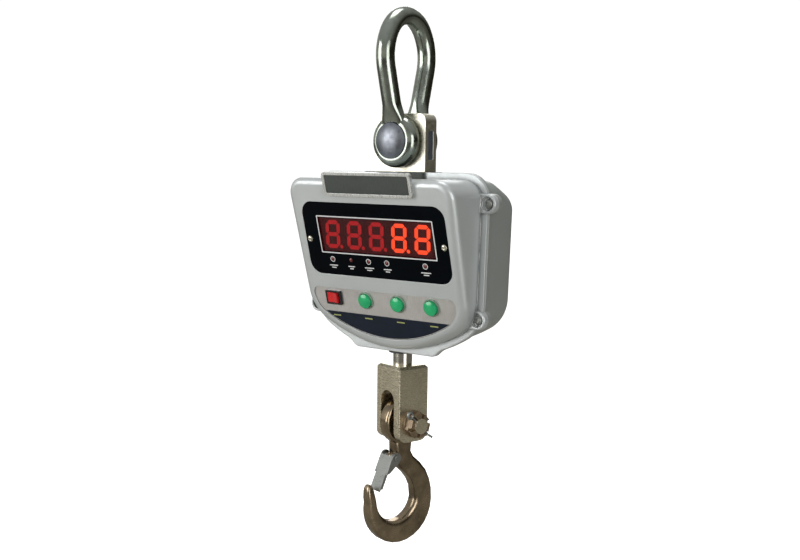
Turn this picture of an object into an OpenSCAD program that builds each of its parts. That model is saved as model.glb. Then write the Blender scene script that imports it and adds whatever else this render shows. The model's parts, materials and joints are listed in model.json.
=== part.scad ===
// Crane scale: a direct-view hanging scale with a bow shackle on top and a swivel hook below.
// Origin: the seat inside the shackle's crown, on the load line. +Z is up and the display faces -Y.
// All sizes are in millimetres.

/* [Shackle] */
// Diameter of the bow's round bar
rod_d = 19.5; // [18:0.5:20]
// Half of the bow's greatest width, to the middle of the bar
bow_r = 35; // [34:0.5:36]
// Height from the pin's centre up to the crown's seat
pin_drop = 118; // [116:1:121]
// Diameter of the shackle pin
pin_d = 22; // [20:1:24]
// Diameter of the two ears that hold the pin
ear_d = 55; // [52:1:57]
// Thickness of each ear
ear_t = 13.5; // [12:0.5:15]
// Diameter of the pin's head
pin_head_d = 37; // [35:1:39]

/* [Load cell] */
// Width of the load cell's plate
cell_w = 65; // [62:1:66]
// Thickness of the load cell's plate
cell_t = 19; // [18:0.5:19]
// Height of the load cell above the casing's flange
cell_rise = 59.5; // [57:0.5:62]
// Height of the shackle pin above the casing's flange
pin_above_case = 31.5; // [31:0.5:34]

/* [Casing] */
// Width over the casing's flange at the top
case_w = 226; // [222:1:230]
// Width over the casing's flange where the sides turn into the belly
case_low_w = 220; // [217:1:222]
// Height of the casing
case_h = 187; // [185:1:189]
// How far the flange stands out from the walls
flange_rise = 7; // [5:0.5:8]
// Thickness of one shell's flange
flange_t = 4; // [3:0.5:5]
// Wall thickness of the shells
wall = 3; // [2.5:0.5:3]
// Tilt of the front face, top edge forward
face_tilt = 15; // [13:1:16]
// Depth of the flange joint in front of the load line
seam_depth = 12; // [11:0.5:13]
// Depth of the back face behind the load line
back_depth = 50; // [49:1:52]

/* [Display and keys] */
// Width of the display panel
panel_w = 183; // [181:1:184]
// Height of the display panel
panel_h = 79; // [77:1:80]
// Distance between neighbouring digits
digit_pitch = 28.8; // [28.4:0.1:28.8]
// Diameter of a push button
button_d = 15; // [13:0.5:15.5]
// Travel of a push button
button_travel = 2; // [1:0.5:2.5]
// Distance between neighbouring push buttons
button_pitch = 42; // [38:1:43]

/* [Swivel clevis] */
// Diameter of the swivel stud
stud_d = 20; // [18:1:20]
// Gap between the casing and the clevis
swivel_gap = 15; // [12:1:18]
// Side of the square clevis
clevis_w = 39; // [37:1:42]
// Height of the clevis
clevis_h = 80; // [78:1:84]
// Width of the slot between the clevis's cheeks
slot_w = 22.7; // [22:0.1:23.5]
// Turn of the clevis and the hook about the load line
clevis_turn = -15; // [-30:1:30]

/* [Hook] */
// Diameter of the hook's pin
hook_pin_d = 16; // [14:1:17]
// Thickness of the hook
hook_t = 16; // [15:0.5:18]
// Radius of the hook's bowl
bowl_r = 25; // [24:0.5:26]
// Outer radius of the hook's body
hook_r = 42; // [41.5:0.5:44]

/* [Hidden] */
$fn = 64;
EPS = 0.01;
RUN = 0.05;         // radial clearance of a pin that turns in its bore

// Heights on the load line, from the crown's seat
PIN_Z = -pin_drop;
CASE_Z = PIN_Z - pin_above_case;
CLEVIS_TOP_Z = CASE_Z - case_h - swivel_gap;
CLEVIS_LOW_Z = CLEVIS_TOP_Z - clevis_h;
HOOK_PIN_Z = CLEVIS_LOW_Z + 19.5;

// Shackle
CROWN_R = 32;                         // radius of the crown's top arc, to the middle of the bar
CROWN_TURN = 35;                      // where the top arc meets the two side arcs
SIDE_ARC_R = (bow_r - CROWN_R * cos(CROWN_TURN)) / (1 - cos(CROWN_TURN));
SIDE_ARC_Z = rod_d / 2 - CROWN_R - (SIDE_ARC_R - CROWN_R) * sin(CROWN_TURN);
LEG_TURN = 15;                        // how far a side arc runs on past the bow's widest point
EAR_GAP = cell_t / 2 + 1.8;           // half of the gap between the ears
EAR_OUT = EAR_GAP + ear_t;
PIN_HEAD_T = 6;
WASHER_GAP = 0.1;
WASHER_T = 2.5;
SPLIT_PIN_Y = EAR_OUT + 7;
PIN_END_Y = EAR_OUT + 10.5;

// Casing, in its own heights: 0 at the flange's top, Y and X as the object's
SEAM_Y = -seam_depth;
BACK_Y = back_depth;
CORNER_R = 26;
CORNER_X = case_w / 2 - CORNER_R;
BELLY_R = 172;                        // the belly's arc, at the flange
BELLY_Z = -18;
SIDE_R = 45;                          // the arc between a side and the belly, at the flange
SIDE_X = case_low_w / 2 - SIDE_R;
SIDE_Z = BELLY_Z - sqrt((BELLY_R - SIDE_R) * (BELLY_R - SIDE_R) - SIDE_X * SIDE_X);
SIDE_END = atan2(BELLY_Z - SIDE_Z, SIDE_X);
FOOT_TOP_X = 60;
FOOT_X = 51;
BUSH_R = 13;                          // the bush round the swivel stud
BEVEL_Y = 17;                         // where the rear shell's top starts to slope down
BEVEL_ANGLE = 26;
LUGS = [[113.8, -29.5], [104, -144]];
LUG_R = 9.7;
LUG_WEB = 14;                         // length of the web from a lug's centre into the wall
LUG_FRONT = 6.5;                      // how far a front lug stands forward of the joint
LUG_BACK = 8;                         // how far a rear lug reaches back from the joint
SCREW_R = 2.5;
FACE_Y = -48;                         // the front face's datum point
FACE_Z = -88;
FACE_WALL = 4.5;

// Front face, x to the right and y up along the face from the datum point
PANEL_X = 2;
PANEL_Y = 18.5;
PANEL_T = 3;
PANEL_SCREWS_X = [PANEL_X - 86.2, PANEL_X + 86.2];
PANEL_SCREW_Y = 17;
DIGITS_X = 3.6;
DIGITS_Y = 23;
DIGIT_COUNT = 5;
WINDOW_W = digit_pitch * DIGIT_COUNT + 1;
WINDOW_H = 37;
LENS_T = 1.5;
MODULE_FRONT = -1.9;
MODULE_BACK = -10;
LAMPS_X = [-57.3, -33.2, -9.5, 14.2, 62.1];
LAMPS_Y = -3.8;
LAMP_R = 2.4;
PAD_TOP_Y = -36.5;
PAD_DEPTH = 2.2;
PAD_RIM = 10;
PLATE_T = 1;
LABEL_TOP_Y = -63.5;
KEYS_Y = -47.4;
ROCKER_X = -65.3;
BUTTONS_X = [for (i = [0:2]) -22.3 + i * button_pitch];
KEY_FLOOR = -PAD_DEPTH + PLATE_T;     // outer surface of the control plate
ROCKER_PIVOT = KEY_FLOOR - 3;
ROCKER_PIN_R = 1.2;
HOUSING_D = 14;                       // depth of a button's housing behind the face

NAMEPLATE = [112, 25, 4];
NAMEPLATE_X = 5.5;
NAMEPLATE_Y = 78.5;

// Battery and charging socket, in the casing's heights
BATTERY_X = 56.5;
BATTERY_Z = -88;
BATTERY = [51, 24, 97];
COVER_W = 60;
COVER_H = 108;
SOCKET_X = -70;
SOCKET_Z = -128;

// Load cell, in the casing's heights
YOKE_TOP = -95;
YOKE_LOW = -150;
YOKE_FLOOR = -134;
YOKE_WINDOW_TOP = -103;
RACE_T = 3;
BALL_R = 3;
BALL_RING_R = 13.75;
BALLS = 12;
BALL_Z = YOKE_FLOOR + 5;
STUD_NUT_LOW = YOKE_FLOOR + 10;
STUD_NUT_T = 16;
STUD_TOP = -104.5;
STUD_GRIP = 22;

// Clevis and hook, turned about the load line; X runs along the hook's pin
CHEEK_X = clevis_w / 2;
SLOT_TOP_Z = CLEVIS_TOP_Z - 26;
EYE_R = 25;
EYE_T = 14;
EYE_DROP = -3;                        // height of the eye's outer round from the pin's centre
BODY_C = [-4.3, -88.5];               // centre of the hook's outer arc, from its pin, in Y and Z
BOWL_C = [-10.5, -80.5];
POINT_C = [-42.8, -66];               // centre of the rounding on the hook's point
LATCH_C = [-14, -37];                 // the latch's hinge
LATCH_LEAN = 24;
LATCH_L = 38.5;
LATCH_PIN_R = 2.5;
LATCH_HALF_W = 10.6;
SHEET_T = 1.4;

// ---- helpers ----

function arc(c, r, from, to, steps) =
    [for (i = [0:steps]) let (a = from + (to - from) * i / steps) [c[0] + r * cos(a), c[1] + r * sin(a)]];

function both_sides(half) =
    concat(half, [for (i = [len(half) - 1:-1:0]) [-half[i][0], half[i][1]]]);

// The joint's outline, drawn in by an inset: rounded top, leaning sides, round belly and flat foot
function case_sides(inset) = concat(
    arc([CORNER_X, -CORNER_R], CORNER_R - inset, 90, 0, 10),
    arc([SIDE_X, SIDE_Z], SIDE_R - inset, -2, -SIDE_END, 10)
);

function case_half(inset) = concat(
    case_sides(inset),
    arc([0, BELLY_Z], BELLY_R - inset, -SIDE_END, -acos((FOOT_TOP_X - inset / 2) / (BELLY_R - inset)), 5),
    [[FOOT_X - inset / 2, inset - case_h]]
);

// The front body's outline, which has no foot
function front_half(inset) = concat(
    case_sides(flange_rise + inset),
    arc([0, BELLY_Z], BELLY_R - flange_rise - inset, -SIDE_END, -90, 12)
);

module case_outline(inset) { polygon(both_sides(case_half(inset))); }
module front_outline(inset) { polygon(both_sides(front_half(inset))); }

// Extrudes an outline drawn in X and Z along Y
module along_y(y0, y1) {
    translate([0, y1, 0])
    rotate([90, 0, 0])
    linear_extrude(y1 - y0)
    children();
}

// Extrudes an outline drawn in Y and Z along X
module along_x(x0, x1) {
    translate([x0, 0, 0])
    rotate([90, 0, 90])
    linear_extrude(x1 - x0)
    children();
}

module rod_y(r, y0, y1) { translate([0, y1, 0]) rotate([90, 0, 0]) cylinder(r = r, h = y1 - y0); }
module rod_x(r, x0, x1) { translate([x0, 0, 0]) rotate([0, 90, 0]) cylinder(r = r, h = x1 - x0); }

module box(low, high) { translate(low) cube(high - low); }

module at_case() { translate([0, 0, CASE_Z]) children(); }

// The front face's own frame: x right, y up along the face, z outwards
module on_face(x = 0, y = 0) {
    at_case()
    translate([0, FACE_Y, FACE_Z])
    rotate([90 + face_tilt, 0, 0])
    translate([x, y, 0])
    children();
}

module at_clevis(z = 0) { rotate([0, 0, clevis_turn]) translate([0, 0, z]) children(); }

// A flat rectangle with round corners, centred
module round_rect(w, h, r) {
    square([w - 2 * r, h], center = true);
    square([w, h - 2 * r], center = true);
    for (x = [-1, 1], y = [-1, 1]) translate([x * (w / 2 - r), y * (h / 2 - r)]) circle(r);
}

module ring(outer_r, inner_r, h) {
    difference() {
        cylinder(r = outer_r, h = h);
        translate([0, 0, -EPS]) cylinder(r = inner_r, h = h + 2 * EPS);
    }
}

module hex_prism(across, h) { cylinder(r = across / 2 / cos(30), h = h, $fn = 6); }

// A castle nut: chamfered hexagon with slots across its top
module castle_nut(across, h, bore_r) {
    difference() {
        intersection() {
            hex_prism(across, h);
            cylinder(r1 = across / 2 + h + 1, r2 = across / 2 - 1.2, h = h + 2.2);
        }
        translate([0, 0, -EPS]) cylinder(r = bore_r, h = h + 2 * EPS);
        for (a = [0, 60, 120])
            rotate([0, 0, a]) translate([-across, -2, h - 5]) cube([2 * across, 4, 6]);
    }
}

// A split pin along X, with its eye at -X and its two legs bent apart at +X
module split_pin(r, half_len, eye_r) {
    rod_x(r, -half_len, half_len);
    translate([-half_len - eye_r, 0, 0]) rotate_extrude($fn = 32) translate([eye_r, 0]) circle(r, $fn = 24);
    for (side = [-1, 1])
        translate([half_len, 0, 0])
        rotate([0, side * 55, 0])
        rod_x(r * 0.8, -r, eye_r * 2.2);
}

// A screw with a domed head and a hexagon socket, head outwards along +Z, its seat at Z = 0
module dome_screw(shank_r, head_r, head_h, length) {
    translate([0, 0, -length]) cylinder(r = shank_r, h = length + EPS);
    difference() {
        intersection() {
            cylinder(r = head_r, h = head_h);
            translate([0, 0, head_h - head_r * 1.3]) sphere(r = head_r * 1.3);
        }
        translate([0, 0, head_h * 0.45]) hex_prism(head_r * 0.9, head_h);
    }
}

// ---- shackle ----

// A piece of the bow's bar bent about a centre in Y and Z
module bent_bar(centre, r, from, to) {
    translate([0, centre[0], centre[1]])
    rotate([90, 0, 90])
    rotate_extrude(angle = to - from, start = from)
    translate([r, 0])
    circle(rod_d / 2);
}

// A thin disc that joins two pieces of the bar where they meet, at an angle round a centre
module bar_joint(centre, r, angle) {
    translate([0, centre[0] + r * cos(angle), centre[1] + r * sin(angle)])
    rotate([angle, 0, 0])
    cylinder(r = rod_d / 2 + 0.05, h = 1.2, center = true);
}

// The bow's +Y side: the side arc and the leg down into the ear
module bow_side() {
    gap = 0.3;
    side_centre = [bow_r - SIDE_ARC_R, SIDE_ARC_Z];
    start = side_centre + SIDE_ARC_R * [cos(LEG_TURN), -sin(LEG_TURN)];
    length = (start[1] - PIN_Z - 14) / cos(LEG_TURN);
    bent_bar(side_centre, SIDE_ARC_R, gap - LEG_TURN, CROWN_TURN - gap);
    bar_joint(side_centre, SIDE_ARC_R, CROWN_TURN);
    bar_joint(side_centre, SIDE_ARC_R, -LEG_TURN);
    translate([0, start[0], start[1]])
    rotate([-LEG_TURN, 0, 0])
    translate([0, 0, -length])
    cylinder(r = rod_d / 2, h = length - gap);
}

// An ear: a thick disc that tapers outwards to the pin's head
module bow_ear() {
    r = ear_d / 2;
    translate([0, EAR_GAP, PIN_Z])
    rotate([-90, 0, 0])
    rotate_extrude()
    polygon([[0, 0], [r, 0], [r, ear_t * 0.4], [r - 2, ear_t * 0.7],
        [pin_head_d / 2 + 0.8, ear_t], [0, ear_t]]);
}

module shackle_bow() {
    color("#8d9089")
    difference() {
        union() {
            bent_bar([0, rod_d / 2 - CROWN_R], CROWN_R, CROWN_TURN + 0.3, 179.7 - CROWN_TURN);
            for (flip = [0, 1])
                mirror([0, flip, 0]) {
                    bow_side();
                    bow_ear();
                }
        }
        translate([0, 0, PIN_Z]) {
            rod_y(pin_d / 2 + RUN, -EAR_OUT - 1, EAR_OUT + 1);
            rod_y(pin_head_d / 2 + 1, -EAR_OUT - 10, -EAR_OUT);
            rod_y(pin_head_d / 2 + 1, EAR_OUT, EAR_OUT + 10);
        }
        box([-ear_d, -EAR_GAP, PIN_Z - ear_d], [ear_d, EAR_GAP, PIN_Z + ear_d]);
    }
}

module shackle_pin() {
    dome_r = 39;
    color("#a3a6ad")
    translate([0, 0, PIN_Z])
    difference() {
        union() {
            rod_y(pin_d / 2, -EAR_OUT - 1, PIN_END_Y);
            intersection() {
                rod_y(pin_head_d / 2, -EAR_OUT - PIN_HEAD_T, -EAR_OUT);
                translate([0, dome_r - EAR_OUT - PIN_HEAD_T, 0]) sphere(r = dome_r);
            }
        }
        translate([0, SPLIT_PIN_Y, -20]) cylinder(r = 1.55, h = 40);
    }
}

module shackle_washer() {
    color("#9ea0a2")
    translate([0, EAR_OUT + WASHER_GAP, PIN_Z])
    rotate([-90, 0, 0])
    ring(15, pin_d / 2 + RUN, WASHER_T);
}

module shackle_split_pin() {
    color("#b5b7b8")
    translate([0, SPLIT_PIN_Y, PIN_Z])
    rotate([0, 90, 0])
    split_pin(1.5, 12.3, 2.6);
}

// ---- load cell and swivel bearing ----

module load_cell() {
    plate_h = cell_rise - YOKE_TOP;
    color("#d9d4c4")
    at_case()
    difference() {
        union() {
            translate([0, 0, cell_rise - plate_h / 2 - 5])
            along_y(-cell_t / 2, cell_t / 2)
            translate([0, 5 / 2]) {
                translate([0, -5]) square([cell_w, plate_h - 5], center = true);
                round_rect(cell_w, plate_h + 5, 8);
            }
            box([-30, -18, YOKE_LOW], [30, 18, YOKE_TOP]);
        }
        translate([0, 0, pin_above_case]) rod_y(pin_d / 2 + RUN, -cell_t, cell_t);
        for (z = [-38, -64]) translate([0, 0, z]) rod_y(11, -cell_t, cell_t);
        box([-2, -cell_t, -64], [2, cell_t, -38]);
        box([-20, -30, YOKE_FLOOR], [20, 30, YOKE_WINDOW_TOP]);
        translate([0, 0, YOKE_LOW - 1]) cylinder(r = stud_d / 2 + 0.1, h = 30);
        for (side = [-1, 1])
            translate([side * cell_w / 2, 0, 27])
            rotate([90, 0, 90])
            linear_extrude(4, center = true)
            round_rect(8.8, 30, 2);
    }
}

module gauge_covers() {
    color("#7b8a97")
    at_case()
    for (side = [-1, 1])
        translate([side * (cell_w / 2 - 1.2), 0, 27])
        rotate([90, 0, 90])
        linear_extrude(1.6, center = true)
        round_rect(8.6, 29.8, 1.9);
}

module top_collar() {
    color("#4a4f4b")
    at_case()
    difference() {
        union() {
            box([-37, -20, -flange_rise], [37, 14, 0]);
            box([-34.2, -11.2, -flange_rise - wall], [34.2, 11.2, 0]);
        }
        box([-cell_w / 2 - 0.1, -cell_t / 2 - 0.1, -20], [cell_w / 2 + 0.1, cell_t / 2 + 0.1, 5]);
    }
}

module stud_bush() {
    color("#3c3f41")
    at_case()
    translate([0, 0, -case_h])
    difference() {
        union() {
            translate([0, 0, -2]) cylinder(r = BUSH_R + 1.6, h = 2);
            cylinder(r = BUSH_R, h = flange_rise + wall);
        }
        translate([0, 0, -5]) cylinder(r = stud_d / 2 + 0.5, h = 30);
    }
}

// The ring of balls' path, cut from both races
module ball_track() { rotate_extrude() translate([BALL_RING_R, 0]) circle(BALL_R + RUN, $fn = 32); }

module thrust_race_lower() {
    color("#a9acae")
    at_case()
    difference() {
        translate([0, 0, YOKE_FLOOR]) ring(17.5, stud_d / 2 + 0.3, RACE_T);
        translate([0, 0, BALL_Z]) ball_track();
    }
}

module thrust_race_upper() {
    color("#a9acae")
    at_case()
    difference() {
        translate([0, 0, STUD_NUT_LOW - RACE_T]) ring(17.5, stud_d / 2 + RUN, RACE_T - RUN);
        translate([0, 0, BALL_Z]) ball_track();
    }
}

module thrust_balls() {
    color("#c3c6c8")
    at_case()
    for (i = [0:BALLS - 1])
        rotate([0, 0, i * 360 / BALLS])
        translate([BALL_RING_R, 0, BALL_Z])
        sphere(r = BALL_R, $fn = 32);
}

// ---- casing ----

// All space behind the front face, moved out by a distance
module behind_face(out = 0) { on_face() translate([-200, -200, out - 300]) cube([400, 400, 300]); }

// The hole in the foot, for the bush
module foot_hole() { translate([0, 0, -case_h - 1]) cylinder(r = BUSH_R + 0.1, h = 30); }

module at_lugs() {
    for (side = [-1, 1], lug = LUGS)
        translate([side * lug[0], 0, lug[1]])
        children();
}

// The web that joins a lug to the wall, on the side that faces the load line
module lug_webs(y0, y1) {
    for (side = [-1, 1], lug = LUGS)
        box([min(side * lug[0], side * (lug[0] - LUG_WEB)), y0, lug[1] - LUG_R],
            [max(side * lug[0], side * (lug[0] - LUG_WEB)), y1, lug[1] + LUG_R]);
}

// The D-shaped area of the keys, with its corners at the ends of its straight top edge
module key_area(inset) {
    intersection() {
        polygon([for (p = both_sides(front_half(PAD_RIM + inset))) [p[0], (p[1] - FACE_Z) / cos(face_tilt)]]);
        translate([-150, PAD_TOP_Y - inset - 150]) square([300, 150]);
    }
}

module front_shell() {
    color("#b9bfc1")
    difference() {
        union() {
            intersection() {
                at_case() along_y(-95, SEAM_Y) front_outline(0);
                behind_face();
            }
            at_case() {
                along_y(SEAM_Y - flange_t, SEAM_Y) case_outline(0);
                at_lugs() rod_y(LUG_R, SEAM_Y - LUG_FRONT, SEAM_Y);
                lug_webs(SEAM_Y - LUG_FRONT, SEAM_Y);
            }
        }
        intersection() {
            at_case() along_y(-95, SEAM_Y + 1) front_outline(wall);
            behind_face(-FACE_WALL);
        }
        at_case() {
            box([-37.1, -20.1, -flange_rise], [37.1, 0, 5]);
            foot_hole();
            at_lugs() rod_y(SCREW_R + 0.2, -50, 0);
            at_lugs() rod_y(7, SEAM_Y - LUG_FRONT - 1, SEAM_Y - LUG_FRONT + 4);
        }
        on_face(PANEL_X, PANEL_Y) {
            translate([0, 0, -PANEL_T]) linear_extrude(20) round_rect(panel_w + 0.2, panel_h + 0.2, 14);
            translate([0, 0, -20]) linear_extrude(30) round_rect(panel_w - 20, panel_h - 10, 9);
        }
        on_face() {
            translate([0, 0, -PAD_DEPTH]) linear_extrude(20) key_area(0);
            for (x = PANEL_SCREWS_X) translate([x, PANEL_SCREW_Y, -12]) cylinder(r = 1.4, h = 20);
            for (x = BUTTONS_X) translate([x, KEYS_Y, -20]) cylinder(r = button_d / 2 + 0.8, h = 40);
            translate([ROCKER_X, KEYS_Y, -20]) linear_extrude(40) square([19, 13], center = true);
        }
    }
}

// The space above the sloping part of the rear shell's top, moved down by a distance
module above_bevel(down) {
    translate([-200, BEVEL_Y, -flange_rise - down])
    rotate([-BEVEL_ANGLE, 0, 0])
    cube([400, 100, 60]);
}

module rear_shell() {
    color("#979d99")
    at_case()
    difference() {
        union() {
            difference() {
                along_y(SEAM_Y, BACK_Y) case_outline(flange_rise);
                above_bevel(0);
            }
            along_y(SEAM_Y, SEAM_Y + flange_t) case_outline(0);
            at_lugs() rod_y(LUG_R, SEAM_Y, SEAM_Y + LUG_BACK);
            lug_webs(SEAM_Y, SEAM_Y + LUG_BACK);
        }
        difference() {
            along_y(SEAM_Y - 1, BACK_Y - wall) case_outline(flange_rise + wall);
            above_bevel(wall);
        }
        box([-37.1, SEAM_Y - 1, -flange_rise], [37.1, 14.1, 5]);
        box([-34.3, -11.3, -30], [34.3, 11.3, 5]);
        at_lugs() rod_y(SCREW_R, SEAM_Y - 1, SEAM_Y + 10);
        foot_hole();
        translate([BATTERY_X, 0, BATTERY_Z]) {
            along_y(BACK_Y - 2.2, BACK_Y + 1) round_rect(COVER_W + 0.4, COVER_H + 0.4, 6);
            along_y(BACK_Y - 10, BACK_Y + 1) round_rect(COVER_W - 18, COVER_H - 18, 4);
            at_cover_screws() rod_y(1.6, BACK_Y - 8, BACK_Y);
        }
        translate([SOCKET_X, 0, SOCKET_Z]) rod_y(6, 0, BACK_Y + 1);
    }
}

// A rubber cord of square section in the joint between the shells, all round but the top
module shell_seal() {
    color("#2c2e2f")
    at_case()
    difference() {
        along_y(SEAM_Y + EPS, SEAM_Y + 2) case_outline(flange_rise + wall + 0.1);
        along_y(SEAM_Y - 1, SEAM_Y + 3) case_outline(flange_rise + wall + 2);
        box([-34.3, -40, -20], [34.3, 40, 5]);
    }
}

module shell_screws() {
    color("#8f9392")
    at_case()
    at_lugs()
    translate([0, SEAM_Y - LUG_FRONT + 4, 0])
    rotate([90, 0, 0])
    dome_screw(SCREW_R, 4.6, 3.4, LUG_FRONT + 2);
}

// ---- nameplate and display ----

module nameplate() {
    color("#c6cacb")
    on_face(NAMEPLATE_X, NAMEPLATE_Y)
    difference() {
        linear_extrude(NAMEPLATE[2]) round_rect(NAMEPLATE[0], NAMEPLATE[1], 4);
        translate([0, 0, NAMEPLATE[2] - 1.2])
        linear_extrude(5) round_rect(NAMEPLATE[0] - 6, NAMEPLATE[1] - 6, 1.5);
    }
}

module nameplate_insert() {
    color("#5a625e")
    on_face(NAMEPLATE_X, NAMEPLATE_Y)
    translate([0, 0, NAMEPLATE[2] - 1.2])
    linear_extrude(0.8) round_rect(NAMEPLATE[0] - 6.2, NAMEPLATE[1] - 6.2, 1.4);
}

module display_panel() {
    color("#0b0d12")
    on_face()
    difference() {
        translate([PANEL_X, PANEL_Y, -PANEL_T]) linear_extrude(PANEL_T) round_rect(panel_w, panel_h, 13.9);
        translate([DIGITS_X, DIGITS_Y, -10]) linear_extrude(20) square([WINDOW_W, WINDOW_H], center = true);
        for (x = LAMPS_X) translate([x, LAMPS_Y, -10]) cylinder(r = LAMP_R + 0.1, h = 20);
        for (x = PANEL_SCREWS_X) translate([x, PANEL_SCREW_Y, -10]) cylinder(r = 1.5, h = 20);
    }
}

module display_lens() {
    color("#3a1214", 0.5)
    on_face(DIGITS_X, DIGITS_Y)
    translate([0, 0, -LENS_T])
    linear_extrude(LENS_T)
    square([WINDOW_W - 0.2, WINDOW_H - 0.2], center = true);
}

module panel_screws() {
    color("#c9c5b6")
    for (x = PANEL_SCREWS_X)
        on_face(x, PANEL_SCREW_Y)
        dome_screw(1.4, 3.3, 2, 6);
}

module digit_modules() {
    color("#1a0d0d")
    for (i = [0:DIGIT_COUNT - 1])
        on_face(DIGITS_X + (i - (DIGIT_COUNT - 1) / 2) * digit_pitch, DIGITS_Y)
        translate([0, 0, MODULE_BACK])
        linear_extrude(MODULE_FRONT - MODULE_BACK)
        square([digit_pitch - 0.2, WINDOW_H - 0.4], center = true);
}

module indicator_lamps() {
    color("#7c2b2b")
    for (x = LAMPS_X)
        on_face(x, LAMPS_Y) {
            translate([0, 0, MODULE_BACK]) cylinder(r = LAMP_R, h = -MODULE_BACK - 0.6);
            intersection() {
                translate([0, 0, -1]) cylinder(r = LAMP_R, h = 3);
                translate([0, 0, -2.6]) sphere(r = 3.1);
            }
        }
}

module display_board() {
    color("#1f5a35")
    on_face(DIGITS_X, PANEL_Y - 2)
    translate([0, 0, MODULE_BACK - 1.8])
    linear_extrude(1.6)
    round_rect(150, 60, 2);
}

// ---- keys ----

module control_plate() {
    color("#b8b4b9")
    on_face()
    difference() {
        translate([0, 0, -PAD_DEPTH]) linear_extrude(PLATE_T) key_area(0.2);
        for (x = BUTTONS_X) translate([x, KEYS_Y, -20]) cylinder(r = button_d / 2 + 0.8, h = 40);
        translate([ROCKER_X, KEYS_Y, -20]) linear_extrude(40) square([19, 13], center = true);
    }
}

module control_label() {
    color("#1b222d")
    on_face()
    translate([0, 0, KEY_FLOOR])
    linear_extrude(0.4)
    intersection() {
        key_area(1);
        translate([-150, LABEL_TOP_Y - 100]) square([300, 100]);
    }
}

module rocker_bezel() {
    color("#17181a")
    on_face(ROCKER_X, KEYS_Y)
    difference() {
        union() {
            translate([0, 0, KEY_FLOOR]) linear_extrude(2) round_rect(21, 15.5, 1);
            translate([0, 0, -16]) linear_extrude(16 + KEY_FLOOR) square([18.8, 12.8], center = true);
        }
        translate([0, 0, -12]) linear_extrude(30) square([16, 11.6], center = true);
        translate([0, 0, ROCKER_PIVOT]) rotate([90, 0, 0]) cylinder(r = ROCKER_PIN_R + RUN, h = 20, center = true);
    }
}

// The rocker's paddle: two slopes that meet over its pivot, with the left one pressed in
module rocker() {
    color("#c8201f")
    on_face(ROCKER_X, KEYS_Y)
    translate([0, 0, ROCKER_PIVOT])
    rotate([0, -8, 0])
    rotate([90, 0, 0]) {
        linear_extrude(10.8, center = true)
        polygon([[-7, 0], [-7, 6.2], [0, 4.9], [7, 6.2], [7, 0], [3, -4], [-3, -4]]);
        cylinder(r = ROCKER_PIN_R, h = 12.4, center = true);
    }
}

module button_bezels() {
    color("#2f3a33")
    for (x = BUTTONS_X)
        on_face(x, KEYS_Y)
        translate([0, 0, KEY_FLOOR])
        difference() {
            cylinder(r = button_d / 2 + 1.9, h = 1.4);
            translate([0, 0, -EPS]) cylinder(r = button_d / 2 + 0.35, h = 5);
        }
}

module button_housings() {
    color("#26282a")
    for (x = BUTTONS_X)
        on_face(x, KEYS_Y)
        translate([0, 0, -HOUSING_D])
        difference() {
            cylinder(r = button_d / 2 + 0.7, h = HOUSING_D + KEY_FLOOR - EPS);
            translate([0, 0, 2]) cylinder(r = button_d / 2 + 0.35, h = 30);
        }
}

// A push button's cap and stem
module button(x) {
    color("#12a24c")
    on_face(x, KEYS_Y) {
        translate([0, 0, -9]) cylinder(r = 3, h = 8);
        intersection() {
            translate([0, 0, -4]) cylinder(r = button_d / 2, h = 9);
            translate([0, 0, 4.4 - 18]) sphere(r = 18);
        }
    }
}

module button_left() { button(BUTTONS_X[0]); }
module button_middle() { button(BUTTONS_X[1]); }
module button_right() { button(BUTTONS_X[2]); }

// ---- inside and back of the casing ----

module at_cover_screws() {
    for (x = [-1, 1], z = [-1, 1])
        translate([x * (COVER_W / 2 - 5), 0, z * (COVER_H / 2 - 5)])
        children();
}

module main_board() {
    color("#1d6b3c")
    at_case()
    box([-92, 28, -110], [-38, 29.6, -34]);
}

module battery() {
    color("#4b4f55")
    at_case()
    translate([BATTERY_X, BACK_Y - 12 - BATTERY[1] / 2, BATTERY_Z])
    cube(BATTERY, center = true);
}

module battery_cover() {
    color("#8b918d")
    at_case()
    translate([BATTERY_X, 0, BATTERY_Z])
    difference() {
        along_y(BACK_Y - 1.8, BACK_Y - 0.2) round_rect(COVER_W, COVER_H, 5.8);
        at_cover_screws() rod_y(1.6, BACK_Y - 8, BACK_Y + 1);
        at_cover_screws()
        translate([0, BACK_Y - 1.6, 0])
        rotate([-90, 0, 0])
        cylinder(r1 = 1.5, r2 = 3.3, h = 1.5);
    }
}

module battery_cover_seal() {
    color("#2c2e2f")
    at_case()
    translate([BATTERY_X, 0, BATTERY_Z])
    along_y(BACK_Y - 2.2, BACK_Y - 1.8)
    difference() {
        round_rect(COVER_W - 13.5, COVER_H - 13.5, 5);
        round_rect(COVER_W - 17.5, COVER_H - 17.5, 4);
    }
}

module battery_cover_screws() {
    color("#b3b5b2")
    at_case()
    translate([BATTERY_X, 0, BATTERY_Z])
    at_cover_screws()
    rotate([-90, 0, 0])
    difference() {
        union() {
            translate([0, 0, BACK_Y - 7]) cylinder(r = 1.45, h = 6);
            translate([0, 0, BACK_Y - 1.5]) cylinder(r1 = 1.45, r2 = 3.1, h = 1.3);
        }
        translate([0, 0, BACK_Y - 0.9]) {
            translate([-2, -0.4, 0]) cube([4, 0.8, 2]);
            translate([-0.4, -2, 0]) cube([0.8, 4, 2]);
        }
    }
}

// A panel-mount socket for the charger's round plug, set back from the back face
module charging_socket() {
    color("#202224")
    at_case()
    translate([SOCKET_X, 0, SOCKET_Z])
    difference() {
        union() {
            rod_y(5.9, BACK_Y - 16, BACK_Y - 0.6);
            rod_y(8.5, BACK_Y - wall - 2.5, BACK_Y - wall - EPS);
        }
        rod_y(2.85, BACK_Y - 13, BACK_Y);
    }
}

// ---- swivel clevis ----

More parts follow.
